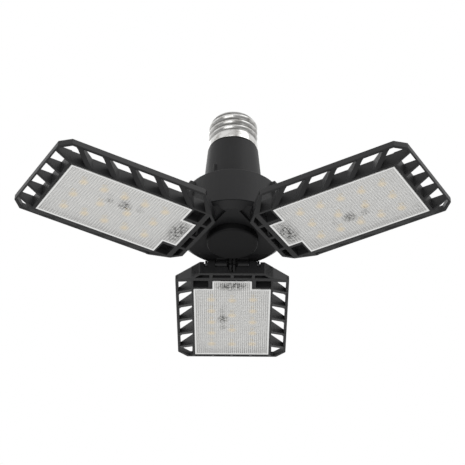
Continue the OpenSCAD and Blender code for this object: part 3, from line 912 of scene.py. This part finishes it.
@dataclass
class ScrewBase:
    """The threaded shell with its insulator and contact."""

    band_r: float = 13.2
    band_h: float = 3.7
    root_r: float = 12.2
    crest: float = 0.88
    height: float = 18.4
    tip_in: float = 0.9
    shoulder: tuple[float, float] = (1.6, 1.4)
    step_h: float = 0.7
    shell_edge: float = 0.22
    pitch: float = 3.63
    turns: float = 3.4
    wall: float = 0.6
    steps: int = 64
    rows: int = 12
    half_share: float = 0.49
    sunk: float = 0.5
    overlap: float = 0.05
    fullness: float = 1.15
    foot_gap: float = 1.2
    run_out: float = 1.2
    edge: float = 0.15

    def section(self, part: Mesh, half: float) -> list[bmesh.types.BMVert]:
        """Adds the ridge's section, a rounded hump on a strip sunk into the shell.

        Args:
            part: the mesh that the points go into.
            half: half the ridge's width.

        Returns:
            The section's points in order.
        """
        inner = self.root_r - self.sunk
        points = [part.verts.new((inner, 0, -half))]
        for i in range(self.rows + 1):
            t = 2 * i / self.rows - 1
            swell = (0.5 + 0.5 * math.cos(math.pi * t)) ** self.fullness
            reach = self.root_r - self.overlap + (self.crest + self.overlap) * swell
            points.append(part.verts.new((reach, 0, t * half)))
        points.append(part.verts.new((inner, 0, half)))
        return points

    def thread(self) -> Mesh:
        """Winds the ridge upwards and runs it out to nothing at both ends.

        Returns:
            A closed mesh.
        """
        part = bmesh.new()
        points = self.section(part, self.half_share * self.pitch)
        edges = [part.edges.new(pair) for pair in zip(points, points[1:] + points[:1])]
        part.faces.new(points)
        spun = bmesh.ops.spin(part, geom=points + edges, cent=(0, 0, 0), axis=(0, 0, 1),
                              angle=math.tau * self.turns, steps=round(self.turns * self.steps),
                              dvec=(0, 0, self.pitch / self.steps))
        bmesh.ops.contextual_create(part, geom=only(bmesh.types.BMEdge, spun["geom_last"]))
        full = self.turns * self.pitch
        for vert in part.verts:
            r = math.hypot(vert.co.x, vert.co.y)
            rise = self.pitch * math.atan2(vert.co.y, vert.co.x) / math.tau
            along = round((vert.co.z - rise) / self.pitch) * self.pitch + rise
            share = max(0.0, min(1.0, along / self.run_out, (full - along) / self.run_out))
            if r > self.root_r:
                r_new = self.root_r - self.overlap + (r - self.root_r + self.overlap) * share
                vert.co.x *= r_new / r
                vert.co.y *= r_new / r
        bmesh.ops.translate(part, vec=(0, 0, self.band_h + self.foot_gap), verts=part.verts)
        bmesh.ops.recalc_face_normals(part, faces=part.faces)
        return part

    def tube(self) -> Mesh:
        """Makes the shell without its thread: a plain band, a step, a straight wall and a drawn-in tip.

        Returns:
            A closed mesh.
        """
        inner, root, tip = self.root_r - self.wall, self.root_r, self.tip_in
        outside, inside = (self.height - drop for drop in self.shoulder)
        return ease(lathe([
            (inner, 0), (self.band_r, 0), (self.band_r, self.band_h), (root, self.band_h + self.step_h),
            (root, outside), (root - tip, self.height), (inner - tip, self.height), (inner, inside)]),
            self.shell_edge, 3, 20.0)

    def build(self) -> None:
        """Makes the shell, the insulator and the contact."""
        shell = Shape().take(self.tube()).take(self.thread())
        Piece("screw_shell_threaded", "hub", "shell_metal", ("screw_shell",), 50.0).finish(
            shell.mesh, [Paint.of(NICKEL)])
        for name, node, slot, finish in (("tip_insulator", "base_insulator", "base_insulator", TIP_GLASS),
                                         ("tip_contact", "center_contact", "contact_metal", BRASS)):
            Piece(name, "hub", slot, (node,)).finish(
                ease(copied(node), self.edge, sharp=25.0), [Paint.of(finish)])


@dataclass
class Housing:
    """Neck, hub, base plate and cap."""

    edge: float = 0.3
    screw_edge: float = 0.1

    def build(self) -> None:
        """Makes the four black pieces and the screws in the hub's top."""
        for name, node, finish in (
                ("neck", "neck_housing", BLACK_CASE), ("hub_shell", "hub_housing", BLACK_CASE),
                ("hub_plate", "hub_base", BLACK_CASE), ("round_cap", "center_cap", SHADED_CAP_BLACK)):
            part = ease(copied(node), self.edge, sharp=40.0, shortest=0.5, hold=Hold.FREE)
            Piece(name, "hub", "black_housing", (node,)).finish(part, [Paint.of(finish)])
        part = ease(copied("housing_screws"), self.screw_edge, sharp=40.0)
        Piece("top_screws", "hub", "screw_steel", ("housing_screws",)).finish(part, [Paint.of(STEEL)])


@dataclass
class Driver:
    """The circuit inside the neck and the hub, which keeps its CAD solids."""

    finishes: dict[str, Any] = field(default_factory=lambda: {
        "driver_board": GREEN_BOARD, "smoothing_capacitors": CAN_SLEEVE, "transformer_core": FERRITE,
        "transformer_winding": COPPER, "input_choke": FERRITE, "film_capacitor": FILM,
        "bridge_rectifier": CHIP, "fuse_resistor": FUSE, "live_lead": RED_LEAD, "neutral_lead": WHITE_LEAD})

    def build(self) -> None:
        """Gives each part its finish."""
        for node, finish in self.finishes.items():
            Paint.dress(node, finish)


# ---------------------------------------------------------------- folding panels


@dataclass
class Panel:
    """One folding panel: frame, board, packages, lens and hinge.

    Lengths are in millimetres: u runs out from the light's axis, v across the panel, and w up from
    its lower face.
    """

    side: Side
    edge: float = 0.22

    hinge_u: float = 22.2
    hinge_w: float = 7.2
    hinge_z: float = -58.75
    tilt: float = 1.5
    knuckle_r: float = 2.4
    knuckle_v: tuple[float, float] = (9.0, 13.0)

    end_u: float = 19.8
    end_half: float = 17.0
    front: float = 0.25
    height: float = 7.5
    floor: float = 4.7
    tray_half: float = 21.7
    tray_end: float = 103.8
    tray_edge: float = 0.18

    lens_u: float = 34.8
    lens_end: float = 102.2
    lens_half: float = 20.6
    lens_gap: float = 0.12
    lens_t: float = 1.5
    border: float = 0.9
    recess: float = 0.22
    tab_u: float = 27.1
    tab_half: float = 10.5

    prism_inset: float = 1.4
    prism_relief: float = 0.2
    prisms_u: int = 86
    prisms_v: int = 70
    prisms_tab: int = 10

    cell_span: tuple[float, float] = (2.0, 4.7)
    cell_wall: float = 1.5
    strut_wall: float = 1.9
    web_half: float = 0.85
    tab_wall: float = 0.2
    corner_v: float = 12.6
    corner_inset: tuple[float, float] = (0.1, 1.1)
    lug_slots: tuple[tuple[float, float, float], ...] = ((2.1, 9.0, 5.2), (13.0, 14.8, 4.7))
    slot_floor: float = 4.45
    arch_r: float = 2.1
    arch_w: float = 3.2
    arch_open: float = 4.8
    groove_pitch: float = 5.6
    groove_half: float = 1.4
    groove_depth: float = 1.2
    groove_inset: float = 2.0

    rim_half: float = 30.3
    rim_end: float = 112.2
    rim_w: float = 1.6
    rim_end_w: float = 1.0
    rim_front: float = 4.4
    corner: float = 5.2

    fin_u: float = 36.6
    fin_pitch: float = 14.15
    fin_count: int = 5
    fin_run: float = 1.25
    fin_t: float = 2.6
    fin_back_t: float = 1.8
    fin_back_in: float = 0.4
    fin_root: float = 2.0
    fin_ends: tuple[float, float] = (1.0, 1.2)
    rib_pitch: float = 10.7
    rib_t: float = 1.6
    rib_root: float = 0.6
    ridge_u: float = 25.2
    ridge_t: float = 1.8
    ridge_half: float = 15.0
    ridge_root: float = 0.6
    ridge_top: float = 9.9

    board_t: float = 1.3
    small_edge: float = 0.06

    @property
    def place(self) -> Matrix:
        """The panel's place in the light, in millimetres."""
        return (Matrix.Rotation(math.radians(self.side.value), 4, "Z")
                @ Matrix.Translation((self.hinge_u, 0, self.hinge_z))
                @ Matrix.Rotation(math.radians(-self.tilt), 4, "Y")
                @ Matrix.Translation((-self.hinge_u, 0, -self.hinge_w)))

    def node(self, part: str) -> str:
        """Name of one of this panel's CAD nodes."""
        return f"{self.side.label}_{part}"

    def piece(self, name: str, node: str, slot: str, smooth_below: float = 38.0) -> Piece:
        """A piece of this panel that stands for one of its CAD nodes."""
        return Piece(f"{self.side.label}_{name}", self.side.body, slot, (self.node(node),), smooth_below)

    def window(self, gap: float) -> Outline:
        """Draws the window with its tab.

        Args:
            gap: how far the outline is drawn in.

        Returns:
            The outline.
        """
        u0, u1, u2 = self.tab_u + gap, self.lens_u + gap, self.lens_end - gap
        tab, half = self.tab_half - gap, self.lens_half - gap
        return [(u0, -tab), (u1, -tab), (u1, -half), (u2, -half),
                (u2, half), (u1, half), (u1, tab), (u0, tab)]

    def outer_cell(self) -> Outline:
        """Outline of the cell that reaches into the strut, on the side of positive v."""
        near, far = (self.end_u + step for step in self.cell_span)
        return [(near, self.tab_half + self.cell_wall), (far, self.tab_half + self.cell_wall),
                (far, self.tray_half - self.strut_wall), (near, self.end_half)]

    def pockets(self) -> list[Outline]:
        """Draws the pockets at the inner end, on the side of positive v.

        Returns:
            Outlines of the one at the window's corner, the inner cell and the outer cell.
        """
        near, far = (self.end_u + step for step in self.cell_span)
        start, stop = self.tab_u + self.corner_inset[0], self.lens_u - self.corner_inset[1]
        side = self.tab_half - self.tab_wall
        return [
            [(start, self.corner_v), (stop, self.corner_v), (stop, self.lens_half), (start, self.lens_half)],
            [(near, self.web_half), (far, self.web_half), (far, side), (near, side)],
            self.outer_cell()]

    def tray(self) -> Mesh:
        """Makes the tray with its window, pockets, wire arch, lug slots and cooling grooves.

        Returns:
            A closed mesh.
        """
        slant = self.end_u + self.tray_half - self.end_half
        block = plate([
            (self.end_u, -self.end_half), (slant, -self.tray_half), (self.tray_end, -self.tray_half),
            (self.tray_end, self.tray_half), (slant, self.tray_half), (self.end_u, self.end_half)],
            self.front, self.height)
        start, above = self.end_u - PAST, self.height + PAST
        tools = [plate(self.window(0), -PAST, self.floor)]
        for sign in BOTH:
            for outline in self.pockets():
                tools.append(plate([(u, sign * v) for u, v in outline], -PAST, self.floor))
            for near, far, length in self.lug_slots:
                stop = self.end_u + length
                tools.append(plate([(start, sign * near), (stop, sign * near), (stop, sign * far),
                                    (start, sign * far)], self.slot_floor, above))
        tools.append(rod(self.arch_r, Vector((start, 0, self.arch_w)),
                         Vector((self.tab_u + PAST, 0, self.arch_w)), steps=24))
        tools.append(box((start, -self.arch_r, self.arch_w),
                         (self.end_u + self.arch_open, self.arch_r, above)))
        for i in range(-3, 4):
            middle, bottom = i * self.groove_pitch, self.height - self.groove_depth
            tools.append(box((self.lens_u + self.groove_inset, middle - self.groove_half, bottom),
                             (self.lens_end - self.groove_inset, middle + self.groove_half, above)))
        return ease(carve(block, tools), self.tray_edge, sharp=35.0, shortest=0.4, hold=Hold.FREE)

    def rim(self) -> Mesh:
        """Makes the outer bar, which runs down both sides and across the end.

        Returns:
            A closed mesh.
        """
        inner, far = self.rim_half - self.rim_w, self.rim_end - self.rim_end_w
        reach = self.end_u + self.rim_half - self.end_half
        half = [(reach - self.rim_w, inner), (reach, self.rim_half),
                (self.rim_end - self.corner, self.rim_half), (self.rim_end, self.rim_half - self.corner)]
        hollow = [(far, self.corner - inner), (far - self.corner, -inner)]
        outline = (half + [(u, -v) for u, v in reversed(half)]
                   + [(u, v) for u, v in reversed(hollow)] + [(u, -v) for u, v in hollow])
        return ease(plate(outline, self.rim_front, self.height), self.edge)

    def sloping_plate(self, length: float, thickness: float, root: float) -> Mesh:
        """Makes an upright plate from the tray's front edge out to the rim's.

        Args:
            length: the gap that it bridges.
            thickness: its thickness.
            root: how far it runs on into the tray and the rim.

        Returns:
            A closed mesh.
        """
        hair = 0.06
        profile = [(-root, self.front + hair), (0, self.front + hair), (length, self.rim_front + hair),
                   (length + root, self.rim_front + hair), (length + root, self.height - hair),
                   (-root, self.height - hair)]
        upright = Matrix.Translation((0, thickness / 2, 0)) @ Matrix.Rotation(math.pi / 2, 4, "X")
        return plate(profile, 0, thickness, upright)

    def fin(self, start_u: float, sign: int) -> Mesh:
        """Makes one diagonal fin, thinner at its back, which ends inside the tray wall and the rim.

        Args:
            start_u: where its middle leaves the tray.
            sign: the side that it lies on.

        Returns:
            A closed mesh.
        """
        rim_inner = self.rim_half - self.rim_w
        angle = math.atan(1 / self.fin_run)
        part = self.sloping_plate((rim_inner - self.tray_half) / math.sin(angle), self.fin_t, self.fin_root)
        back = [v for v in part.verts if v.co.z > self.rim_front + 1]
        bmesh.ops.scale(part, vec=(1, self.fin_back_t / self.fin_t, 1), verts=back)
        bmesh.ops.translate(part, vec=(0, 0, -self.fin_back_in), verts=back)
        turn = Matrix.Rotation(sign * angle, 4, "Z")
        place = Matrix.Translation((start_u, sign * self.tray_half, 0)) @ turn
        bmesh.ops.transform(part, matrix=place, verts=part.verts)
        trimmed(part, (0, sign * (self.tray_half - self.fin_ends[0]), 0), (0, -sign, 0))
        trimmed(part, (0, sign * (rim_inner + self.fin_ends[1]), 0), (0, sign, 0))
        return ease(part, self.edge)

    def strut(self) -> Mesh:
        """Makes the strut from the tray's corner out to the rim's, on the side of positive v.

        Returns:
            A closed mesh, which slopes like the fins and has the outer cell cut into it.
        """
        root, foot, hair = 1.5, 1.2, 0.04
        tuck_u, tuck_v, past_u, past_w = 0.9, 0.8, 1.0, 0.3
        start, far = self.end_u + hair, self.end_u + self.rim_half - self.end_half
        rim_side = self.rim_half - hair
        part = plate([
            (start, self.end_half - root), (start, self.end_half + hair), (far - hair, rim_side),
            (far + root, rim_side), (far + tuck_u, self.rim_half - tuck_v),
            (self.tab_u, self.tray_half - foot),
            (self.tab_u, self.end_half - root)], self.front + hair, self.height - hair)
        rise = (self.rim_front + past_w - self.front) / (self.rim_half + past_u - self.tray_half)
        trimmed(part, (0, self.tray_half, self.front + hair), (0, rise, -1))
        return ease(carve(part, [plate(self.outer_cell(), -PAST, self.floor)]), self.edge)

    def frame(self) -> None:
        """Makes the whole black frame as one piece."""
        shape = Shape().take(self.tray()).take(self.rim())
        for i in range(self.fin_count):
            for sign in BOTH:
                shape.take(self.fin(self.fin_u + i * self.fin_pitch, sign))
        for i in range(-2, 3):
            gap = self.rim_end - self.rim_end_w - self.tray_end
            rib = self.sloping_plate(gap, self.rib_t, self.rib_root)
            bmesh.ops.translate(rib, vec=(self.tray_end, i * self.rib_pitch, 0), verts=rib.verts)
            shape.take(ease(rib, self.edge))
        shape.take(ease(box((self.ridge_u, -self.ridge_half, self.height - self.ridge_root),
                            (self.ridge_u + self.ridge_t, self.ridge_half, self.ridge_top)), self.edge))
        shape.take(self.strut())
        mirrored = self.strut()
        bmesh.ops.scale(mirrored, vec=(1, -1, 1), verts=mirrored.verts)
        bmesh.ops.reverse_faces(mirrored, faces=mirrored.faces)
        shape.take(mirrored)
        for sign in BOTH:
            start, end = (Vector((self.hinge_u, sign * v, self.hinge_w)) for v in self.knuckle_v)
            shape.take(ease(rod(self.knuckle_r, start, end, steps=48), self.edge, sharp=60.0))
        self.piece("frame_moulding", "frame", "black_frame").finish(
            shape.mesh, [Paint.of(BLACK_PANEL)], self.place)

    def cut_prisms(self, part: Mesh) -> None:
        """Cuts the lens field into a fine grid and raises every other line of it.

        Args:
            part: the lens, whose field has material index 1.
        """
        start_u, end_u = self.lens_u + self.prism_inset, self.lens_end - self.prism_inset
        half = self.lens_half - self.prism_inset
        step_u, step_v = (end_u - start_u) / self.prisms_u, 2 * half / self.prisms_v
        cuts = [((start_u + i * step_u, 0, 0), (1, 0, 0)) for i in range(-self.prisms_tab, self.prisms_u)]
        cuts += [((0, -half + i * step_v, 0), (0, 1, 0)) for i in range(1, self.prisms_v)]
        for point, normal in cuts:
            faces = [f for f in part.faces if f.material_index == 1]
            edges = list(dict.fromkeys(e for f in faces for e in f.edges))
            verts = list(dict.fromkeys(v for f in faces for v in f.verts))
            bmesh.ops.bisect_plane(part, geom=verts + edges + faces, plane_co=point, plane_no=normal)
        for vert in part.verts:
            if vert.link_faces and all(f.material_index == 1 for f in vert.link_faces):
                i = round((vert.co.x - start_u) / step_u)
                j = round((vert.co.y + half) / step_v)
                vert.co.z -= self.prism_relief * ((i % 2) + (j % 2)) / 2

    def lens(self) -> None:
        """Makes the window: a flat border round a field of fine prisms."""
        part = plate(self.window(self.lens_gap), 0, self.lens_t)
        front = min(part.faces, key=lambda f: f.calc_center_median().z)
        for face in part.faces:
            face.material_index = 2
        front.material_index = 0
        bmesh.ops.inset_region(part, faces=[front], thickness=self.border, depth=0, use_even_offset=True)
        grown = bmesh.ops.extrude_face_region(part, geom=[front])["geom"]
        bmesh.ops.translate(part, vec=(0, 0, self.recess), verts=only(bmesh.types.BMVert, grown))
        bmesh.ops.delete(part, geom=[f for f in part.faces if f == front], context="FACES_ONLY")
        for face in only(bmesh.types.BMFace, grown):
            face.material_index = 1
        self.cut_prisms(part)
        bmesh.ops.recalc_face_normals(part, faces=part.faces)
        materials = [Paint.of(LENS_BORDER), LENS_FIELD.material(self.place),
                     LENS_INSIDE.material(self.place)]
        self.piece("lens", "diffuser", "diffuser", 8.0).finish(part, materials, self.place)

    def small_parts(self) -> None:
        """Makes the hinge pins, washers, board screws and terminal, and dresses the board and the leads."""
        for name, node, slot, finish in (
                ("hinge_pins", "hinge_screws", "hinge_steel", DARK_STEEL),
                ("spacers", "hinge_washers", "hinge_steel", DARK_STEEL),
                ("board_fixings", "board_screws", "screw_steel", STEEL),
                ("terminal_block", "lead_terminal", "terminal", TERMINAL)):
            part = ease(copied(self.node(node)), self.small_edge, sharp=40.0)
            self.piece(name, node, slot).finish(part, [Paint.of(finish)])
        for node, finish in (("led_board", WHITE_BOARD), ("lead_in", BLACK_LEAD), ("lead_out", BLACK_LEAD)):
            Paint.dress(self.node(node), finish)

    def build(self) -> None:
        """Makes the panel."""
        self.frame()
        self.lens()
        BoardParts(self).build()
        self.small_parts()


@dataclass
class BoardParts:
    """What a panel's board carries on its lower face: packages, regulator and resistors.

    Heights ending in _w are measured down from that face, apart from the packages'.
    """

    panel: Panel
    package: tuple[float, float] = (3.5, 2.8)
    package_w: tuple[float, float] = (2.7, 3.41)
    package_edge: float = 0.12
    cup_wall: float = 0.3
    cup_slope: float = 0.12
    regulator_u: float = 65.0
    middle_v: float = 5.2
    regulator_half: tuple[float, float] = (2.0, 1.1)
    regulator_w: tuple[float, float] = (1.4, 0.1)
    regulator_edge: float = 0.15
    leg_steps: tuple[float, ...] = (-1.5, -0.5, 0.5, 1.5)
    leg_half: float = 0.2
    leg_v: tuple[float, float] = (0.9, 1.5)
    leg_w: float = 0.5
    metal_edge: float = 0.08
    resistors_u: tuple[float, ...] = (56.4, 73.6)
    resistor_half: tuple[float, float] = (0.9, 0.85)
    resistor_w: float = 0.8
    resistor_edge: float = 0.1
    cap_u: tuple[float, float] = (0.85, 1.4)
    cap_half: float = 0.9

    def packages(self) -> None:
        """Makes the fourteen light-emitting packages: white cups with a phosphor fill."""
        shape = Shape()
        half_u, half_v = (size / 2 for size in self.package)
        low, high = self.package_w
        places = [(row.first_u + row.pitch * i, v)
                  for row in ROWS for i in range(row.count) for v in row.lines]
        for u, v in places:
            part = ease(box((u - half_u, v - half_v, low), (u + half_u, v + half_v, high)), self.package_edge)
            lid = min(part.faces, key=lambda f: (round(f.calc_center_median().z, 3), -f.calc_area()))
            bmesh.ops.inset_region(part, faces=[lid], thickness=self.cup_wall)
            bmesh.ops.inset_region(part, faces=[lid], thickness=self.cup_slope, depth=-self.cup_slope)
            lid.material_index = 1
            shape.take(part)
        self.panel.piece("packages", "led_chips", "led_yellow").finish(
            shape.mesh, [Paint.of(PACKAGE_BODY), Paint.of(PHOSPHOR)], self.panel.place)

    def regulator(self, shape: Shape, face: float) -> None:
        """Adds the regulator and its legs.

        Args:
            shape: the piece that they go into.
            face: height of the board's lower face.
        """
        u, v = self.regulator_u, self.middle_v
        half_u, half_v = self.regulator_half
        low, high = (face - depth for depth in self.regulator_w)
        shape.take(ease(box((u - half_u, v - half_v, low), (u + half_u, v + half_v, high)),
                        self.regulator_edge), 0)
        for step in self.leg_steps:
            leg = u + step
            for sign in BOTH:
                near, far = sorted(v + sign * reach for reach in self.leg_v)
                shape.take(ease(box((leg - self.leg_half, near, face - self.leg_w),
                                    (leg + self.leg_half, far, face)), self.metal_edge, 1), 1)

    def resistor(self, shape: Shape, face: float, u: float) -> None:
        """Adds one resistor with its metal ends.

        Args:
            shape: the piece that it goes into.
            face: height of the board's lower face.
            u: its place along the panel.
        """
        v, low = self.middle_v, face - self.resistor_w
        half_u, half_v = self.resistor_half
        shape.take(ease(box((u - half_u, v - half_v, low), (u + half_u, v + half_v, face)),
                        self.resistor_edge), 0)
        for sign in BOTH:
            near, far = sorted(u + sign * reach for reach in self.cap_u)
            shape.take(ease(box((near, v - self.cap_half, low), (far, v + self.cap_half, face)),
                            self.metal_edge, 1), 1)

    def build(self) -> None:
        """Makes the packages, and the regulator between its two resistors."""
        self.packages()
        shape, face = Shape(), self.panel.floor - self.panel.board_t
        self.regulator(shape, face)
        for u in self.resistors_u:
            self.resistor(shape, face, u)
        self.panel.piece("regulators", "driver_chips", "chip_black").finish(
            shape.mesh, [Paint.of(CHIP), Paint.of(TINNED)], self.panel.place)


# ---------------------------------------------------------------- studio


@dataclass
class Lamp:
    """One large soft lamp."""

    name: str
    spot: tuple[float, float, float]
    power: float
    width: float

    def build(self, aim: Vector) -> None:
        """Hangs the lamp and turns it to the light.

        Args:
            aim: the point that it faces, in metres.
        """
        data = bpy.data.lights.new(self.name, "AREA")
        data.energy, data.size, data.shape = self.power, self.width, "SQUARE"
        made = placed(self.name, data)
        made.location = self.spot
        made.rotation_mode = "QUATERNION"
        made.rotation_quaternion = (aim - Vector(self.spot)).to_track_quat("-Z", "Y")
        made.visible_camera = False


@dataclass
class Studio:
    """Camera, lamps, white surroundings and pale floor."""

    eye: tuple[float, float, float] = (0.0, -0.7737, -0.6170)
    aim: tuple[float, float, float] = (0.0, 0.0, -0.05379)
    lens: float = 142.7
    sensor: float = 36.0
    clip: tuple[float, float] = (0.01, 50.0)
    roll: float = 0.35
    floor_z: float = -1.6
    floor_half: float = 5.0
    ambient: float = 0.62
    lamps: tuple[Lamp, ...] = (
        Lamp("front_low", (-0.35, -1.1, -0.9), 6.0, 0.9),
        Lamp("right_high", (1.0, -0.7, 0.7), 3.4, 0.9),
        Lamp("behind", (-0.6, 1.2, 0.8), 3.0, 1.0))

    def camera(self) -> None:
        """Sets the camera at the photograph's point of view."""
        data = bpy.data.cameras.new("camera")
        data.lens, data.sensor_width = self.lens, self.sensor
        data.clip_start, data.clip_end = self.clip
        made = placed("camera", data)
        made.location = self.eye
        made.rotation_mode = "QUATERNION"
        ahead = (Vector(self.aim) - Vector(self.eye)).to_track_quat("-Z", "Y")
        made.rotation_quaternion = ahead @ Quaternion((0, 0, 1), math.radians(self.roll))
        bpy.context.scene.camera = made

    def surroundings(self) -> None:
        """Makes the world, which is white to the camera and in reflections."""
        world = bpy.data.worlds.new("surroundings")
        world.use_nodes = True
        bpy.context.scene.world = world
        nodes, links = world.node_tree.nodes, world.node_tree.links
        shown = nodes["Background"]
        shown.inputs["Color"].default_value = (1, 1, 1, 1)
        path = nodes.new("ShaderNodeLightPath")
        total = path.outputs["Is Camera Ray"]
        for name in ("Is Glossy Ray", "Is Transmission Ray"):
            either = nodes.new("ShaderNodeMath")
            either.operation = "MAXIMUM"
            links.new(total, either.inputs[0])
            links.new(path.outputs[name], either.inputs[1])
            total = either.outputs[0]
        level = nodes.new("ShaderNodeMapRange")
        level.inputs["To Min"].default_value = self.ambient
        links.new(total, level.inputs["Value"])
        links.new(level.outputs[0], shown.inputs["Strength"])

    def floor(self) -> None:
        """Lays the pale floor far below the light, under every point of view."""
        part = bmesh.new()
        bmesh.ops.create_grid(part, x_segments=8, y_segments=8, size=self.floor_half)
        bmesh.ops.translate(part, vec=(0, 0, self.floor_z), verts=part.verts)
        data = bpy.data.meshes.new("floor")
        part.to_mesh(data)
        part.free()
        data.materials.append(Paint.of(FLOOR_PAINT))
        made = placed("floor", data)

    def build(self) -> None:
        """Sets up the studio."""
        bpy.context.scene.view_settings.view_transform = "Standard"
        self.camera()
        self.surroundings()
        self.floor()
        for lamp in self.lamps:
            lamp.build(Vector(self.aim))


def main() -> None:
    """Builds the studio and the light, one sub-assembly after another."""
    logging.basicConfig(level=logging.INFO, format="%(name)s: %(message)s")
    Studio().build()
    ScrewBase().build()
    Housing().build()
    Driver().build()
    for side in Side:
        Panel(side).build()


if __name__ == "__main__":
    main()
